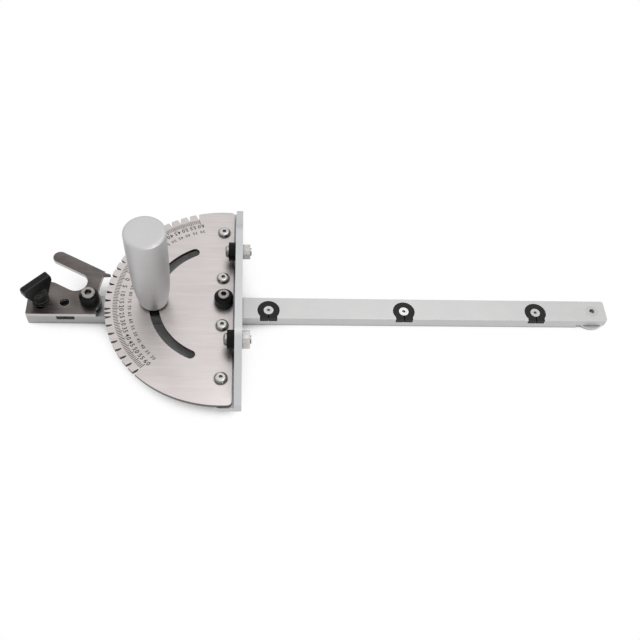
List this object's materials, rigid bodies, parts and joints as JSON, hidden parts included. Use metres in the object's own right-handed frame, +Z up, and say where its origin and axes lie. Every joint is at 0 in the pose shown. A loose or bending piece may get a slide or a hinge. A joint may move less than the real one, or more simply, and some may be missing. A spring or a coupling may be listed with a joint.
{
  "type": "miter gauge",
  "caption": "Table saw miter gauge: slot bar with glide washers, pivoting protractor head with a notched rim and fence bracket, turned clamp handle and index lever.",
  "frame": {"origin": "on the head's pivot axis, at the underside of the guide bar", "axes": "+X along the guide bar to its long end, +Y across it, +Z up out of the table"},
  "size_m": [0.4522, 0.1798, 0.0993],
  "materials": {
    "anodised_bar": "satin clear anodised extrusion",
    "anodised_bracket": "satin clear anodised extrusion",
    "turned_handle": "fine turned, satin anodised",
    "plate_steel": "brushed stainless, engraved scale",
    "lever_steel": "dark brushed steel",
    "glide_plastic": "black nylon",
    "knob_plastic": "black moulded plastic",
    "black_steel": "black oxide steel",
    "washer_steel": "bright zinc plate",
    "nut_steel": "bright zinc plate",
    "screw_steel": "stainless steel"
  },
  "bodies": {
    "bar": {"guide_bar": "anodised_bar", "glide_washer_1": "glide_plastic", "glide_washer_2": "glide_plastic", "glide_washer_3": "glide_plastic", "glide_washer_4": "glide_plastic", "glide_screw_1": "screw_steel", "glide_screw_2": "screw_steel", "glide_screw_3": "screw_steel", "glide_screw_4": "screw_steel", "end_washer": "washer_steel", "end_screw": "screw_steel", "pivot_bush": "black_steel", "pivot_screw": "screw_steel", "lever_bush": "black_steel", "lever_screw": "screw_steel", "lever_spacer": "black_steel", "handle_stud": "screw_steel", "handle_washer": "washer_steel", "support_spacer": "black_steel", "knob_stud": "screw_steel", "knob_spacer": "black_steel"},
    "head": {"protractor_plate": "plate_steel", "fence_bracket": "anodised_bracket", "plate_screw_1": "screw_steel", "plate_screw_2": "screw_steel", "plate_screw_3": "screw_steel", "plate_screw_4": "screw_steel", "fence_bolt_front": "screw_steel", "fence_bolt_back": "screw_steel", "fence_spacer_front": "black_steel", "fence_spacer_back": "black_steel", "fence_nut_front": "nut_steel", "fence_nut_back": "nut_steel"},
    "handle": {"clamp_handle": "turned_handle"},
    "lever": {"index_lever": "lever_steel"},
    "knob": {"lock_knob": "knob_plastic"}
  },
  "joints": [
    {"name": "head_swing", "type": "hinge", "parent": "bar", "child": "head", "pos_m": [0, 0, 0.0143], "axis": [0, 0, 1], "range_deg": [-60, 60]},
    {"name": "lever_swing", "type": "hinge", "parent": "bar", "child": "lever", "pos_m": [-0.1, 0, 0.0143], "axis": [0, 0, 1], "range_deg": [-8.5, 4]},
    {"name": "handle_turn", "type": "hinge", "parent": "bar", "child": "handle", "pos_m": [-0.0526, 0, 0.0185], "axis": [0, 0, 1], "range_deg": [0, 180]},
    {"name": "knob_turn", "type": "hinge", "parent": "bar", "child": "knob", "pos_m": [-0.136, 0, 0.0174], "axis": [0, 0, 1], "range_deg": [0, 180]}
  ]
}
